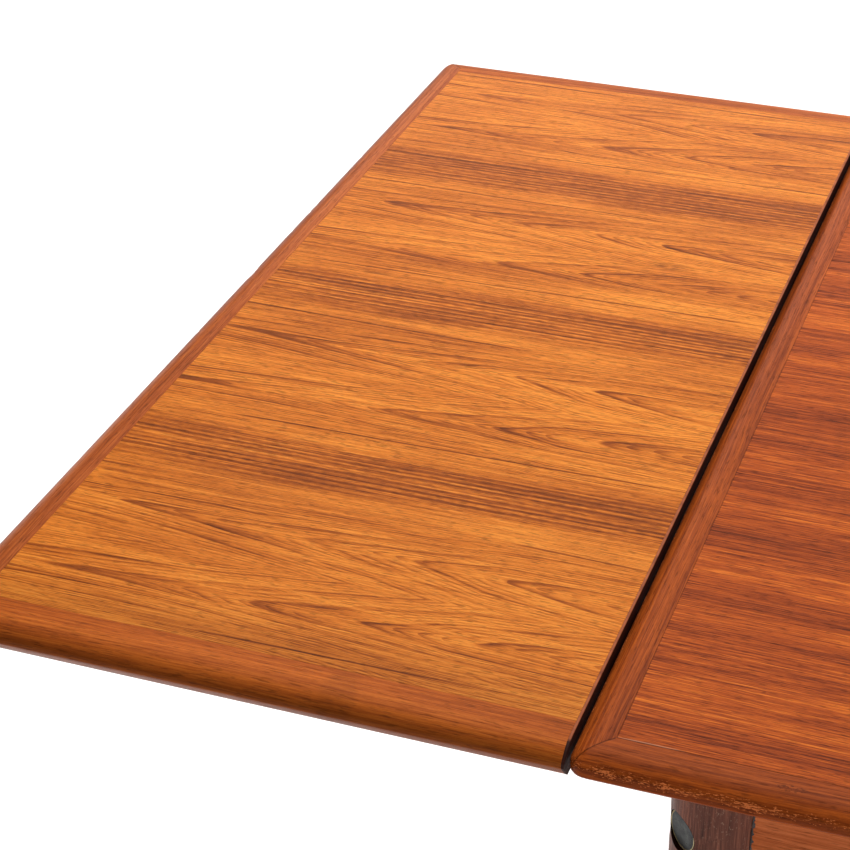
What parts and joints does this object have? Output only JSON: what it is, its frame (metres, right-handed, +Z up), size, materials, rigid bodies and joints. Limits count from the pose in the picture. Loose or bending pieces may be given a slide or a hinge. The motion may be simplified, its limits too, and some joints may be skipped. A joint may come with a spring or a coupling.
{
  "type": "drop leaf table",
  "caption": "Teak dining table with a fixed top, a hinged leaf on each end, folding metal leaf stays, aprons and turned, tapered legs bolted on at the corners.",
  "frame": {"origin": "on the floor under the middle of the table, both leaves raised", "axes": "+X along the length, towards the right leaf; +Y along the depth, towards the back; +Z up"},
  "size_m": [2.012, 0.85, 0.725],
  "materials": {
    "teak_leaf": "satin oiled",
    "teak_leaf_lipping": "satin oiled",
    "teak_top": "satin oiled, aged",
    "teak_top_lipping": "satin oiled, worn",
    "core_board": "raw",
    "teak_apron": "satin oiled",
    "teak_leg": "matt, worn",
    "beech": "raw",
    "nylon": "matt",
    "patinated_steel": "dark patina",
    "brass": "aged",
    "steel": "zinc plated"
  },
  "bodies": {
    "table": {"top_core": "core_board", "top_face_veneer": "teak_top", "top_backing_veneer": "teak_top", "top_lipping_front": "teak_top_lipping", "top_lipping_back": "teak_top_lipping", "top_lipping_left": "teak_top_lipping", "top_lipping_right": "teak_top_lipping", "apron_front": "teak_apron", "apron_back": "teak_apron", "apron_left": "teak_apron", "apron_right": "teak_apron", "cross_rail": "beech", "leg_front_left": "teak_leg", "leg_front_right": "teak_leg", "leg_back_left": "teak_leg", "leg_back_right": "teak_leg", "foot_glides": "nylon", "corner_blocks": "beech", "leg_bolts": "patinated_steel", "leg_bolt_rims": "brass", "leg_bolt_washers": "steel", "leg_bolt_nuts": "steel", "top_buttons": "beech", "top_button_screws": "steel", "top_hinge_plates": "brass", "hinge_pins": "steel", "top_hinge_screws": "brass", "apron_stay_brackets": "steel", "apron_stay_screws": "steel", "apron_stay_rivets": "steel"},
    "left_leaf": {"left_leaf_core": "core_board", "left_leaf_face_veneer": "teak_leaf", "left_leaf_backing_veneer": "teak_leaf", "left_leaf_lipping_front": "teak_leaf_lipping", "left_leaf_lipping_back": "teak_leaf_lipping", "left_leaf_lipping_end": "teak_leaf_lipping", "left_leaf_edge_strip": "teak_leaf_lipping", "left_leaf_hinge_plates": "brass", "left_leaf_stay_brackets": "steel", "left_leaf_screws": "brass", "left_leaf_rivets": "steel"},
    "left_arms": {"left_stay_arms": "steel", "left_stay_rivets": "steel"},
    "left_links": {"left_stay_links": "steel"},
    "right_leaf": {"right_leaf_core": "core_board", "right_leaf_face_veneer": "teak_leaf", "right_leaf_backing_veneer": "teak_leaf", "right_leaf_lipping_front": "teak_leaf_lipping", "right_leaf_lipping_back": "teak_leaf_lipping", "right_leaf_lipping_end": "teak_leaf_lipping", "right_leaf_edge_strip": "teak_leaf_lipping", "right_leaf_hinge_plates": "brass", "right_leaf_stay_brackets": "steel", "right_leaf_screws": "brass", "right_leaf_rivets": "steel"},
    "right_arms": {"right_stay_arms": "steel", "right_stay_rivets": "steel"},
    "right_links": {"right_stay_links": "steel"}
  },
  "joints": [
    {"name": "left_leaf_hinge", "type": "hinge", "parent": "table", "child": "left_leaf", "pos_m": [-0.6505, 0, 0.7012], "axis": [0, -1, 0], "range_deg": [0, 90]},
    {"name": "left_arm_pivot", "type": "hinge", "parent": "table", "child": "left_arms", "pos_m": [-0.6185, 0, 0.6892], "axis": [0, -1, 0], "range_deg": [0, 90]},
    {"name": "left_link_pivot", "type": "hinge", "parent": "left_arms", "child": "left_links", "pos_m": [-0.8185, 0, 0.6828], "axis": [0, -1, 0], "range_deg": [-90, 0]},
    {"name": "right_leaf_hinge", "type": "hinge", "parent": "table", "child": "right_leaf", "pos_m": [0.6505, 0, 0.7012], "axis": [0, 1, 0], "range_deg": [0, 90]},
    {"name": "right_arm_pivot", "type": "hinge", "parent": "table", "child": "right_arms", "pos_m": [0.6185, 0, 0.6892], "axis": [0, 1, 0], "range_deg": [0, 90]},
    {"name": "right_link_pivot", "type": "hinge", "parent": "right_arms", "child": "right_links", "pos_m": [0.8185, 0, 0.6828], "axis": [0, 1, 0], "range_deg": [-90, 0]}
  ],
  "couplings": [
    {"joint": "left_arm_pivot", "follows": "left_leaf_hinge", "ratio": 1},
    {"joint": "left_link_pivot", "follows": "left_leaf_hinge", "ratio": -1},
    {"joint": "right_arm_pivot", "follows": "right_leaf_hinge", "ratio": 1},
    {"joint": "right_link_pivot", "follows": "right_leaf_hinge", "ratio": -1}
  ]
}
